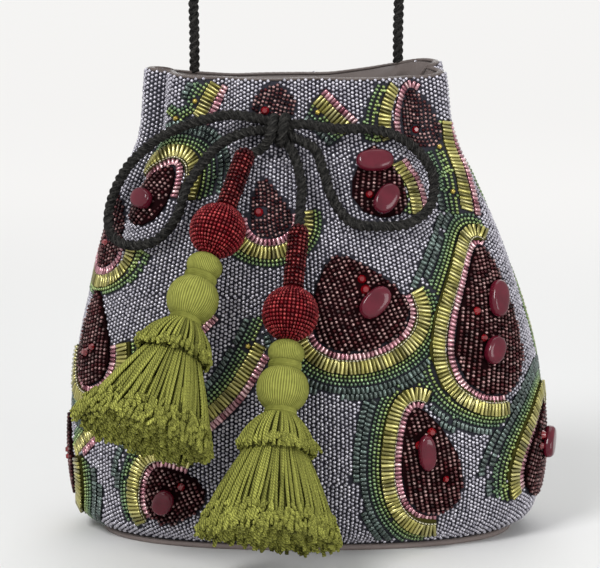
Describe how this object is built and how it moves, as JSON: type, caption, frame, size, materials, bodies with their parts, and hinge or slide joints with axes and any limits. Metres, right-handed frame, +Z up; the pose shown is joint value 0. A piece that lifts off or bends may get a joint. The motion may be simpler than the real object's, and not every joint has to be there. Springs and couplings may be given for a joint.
{
  "type": "beaded drawstring pouch",
  "caption": "Bell-shaped beaded drawstring pouch with gathered neck, flat oval base, tied cord bow, hanging beaded tassels and a shoulder cord.",
  "frame": {"origin": "middle of the flat base, on the surface the bag stands on", "axes": "+Z up towards the mouth, front with the bow and tassels towards -Y, +X to the right seen from the front"},
  "size_m": [0.2062, 0.1808, 0.272],
  "materials": {
    "grey_beads": "cloth covered in close rows of grey-blue glass seed beads",
    "garnet_beads": "dark red glass seed beads",
    "olive_beads": "silver-lined olive bugle beads",
    "wine_glass": "polished wine-red glass",
    "crimson_beads": "deep red seed beads in close rows",
    "green_yarn": "lime-green cotton yarn",
    "black_cord": "soft twisted cord",
    "taupe_cloth": "satin",
    "grey_board": "plain stiffener"
  },
  "bodies": {
    "bag": {"beaded_shell": "grey_beads", "base_panel": "taupe_cloth", "lining": "taupe_cloth", "rim_binding": "taupe_cloth", "base_board": "grey_board", "bow_knot": "black_cord", "drawstring_cord": "black_cord", "bow_loop_left": "black_cord", "bow_loop_right": "black_cord", "shoulder_cord": "black_cord", "left_tail_cord": "black_cord", "right_tail_cord": "black_cord", "bead_pod_centre": "garnet_beads", "bead_pod_right": "garnet_beads", "bead_pod_low_right": "garnet_beads", "bead_pod_side_right": "garnet_beads", "bead_pod_upper_left": "garnet_beads", "bead_pod_left": "garnet_beads", "bead_pod_low_left": "garnet_beads", "bead_pod_side_left": "garnet_beads", "bead_pod_back_right": "garnet_beads", "bead_pod_back_middle": "garnet_beads", "bead_pod_back_left": "garnet_beads", "bead_pod_upper_right": "garnet_beads", "bugle_band_centre": "olive_beads", "bugle_band_right": "olive_beads", "bugle_band_low_right": "olive_beads", "bugle_band_side_right": "olive_beads", "bugle_band_upper_left": "olive_beads", "bugle_band_left": "olive_beads", "bugle_band_low_left": "olive_beads", "bugle_band_side_left": "olive_beads", "bugle_band_back_right": "olive_beads", "bugle_band_back_middle": "olive_beads", "bugle_band_back_left": "olive_beads", "oval_stone_1": "wine_glass", "oval_stone_2": "wine_glass", "oval_stone_3": "wine_glass", "oval_stone_4": "wine_glass", "oval_stone_5": "wine_glass", "oval_stone_6": "wine_glass", "oval_stone_7": "wine_glass", "oval_stone_8": "wine_glass", "oval_stone_9": "wine_glass", "oval_stone_10": "wine_glass", "oval_stone_11": "wine_glass"},
    "left_tassel": {"left_tassel_stem": "crimson_beads", "left_tassel_ball": "crimson_beads", "left_tassel_small_bead": "green_yarn", "left_tassel_large_bead": "green_yarn", "left_tassel_collar": "green_yarn", "left_tassel_skirt": "green_yarn", "left_tassel_core": "black_cord"},
    "right_tassel": {"right_tassel_stem": "crimson_beads", "right_tassel_ball": "crimson_beads", "right_tassel_small_bead": "green_yarn", "right_tassel_large_bead": "green_yarn", "right_tassel_collar": "green_yarn", "right_tassel_skirt": "green_yarn", "right_tassel_core": "black_cord"}
  },
  "joints": [
    {"name": "left_tassel_swing", "type": "hinge", "parent": "bag", "child": "left_tassel", "pos_m": [-0.02559, -0.03351, 0.16023], "axis": [-0.95, 0.1092, 0.2924], "range_deg": [0, 70]},
    {"name": "right_tassel_swing", "type": "hinge", "parent": "bag", "child": "right_tassel", "pos_m": [-0.00361, -0.04593, 0.13087], "axis": [-0.9945, 0.0069, 0.1045], "range_deg": [0, 70]}
  ]
}
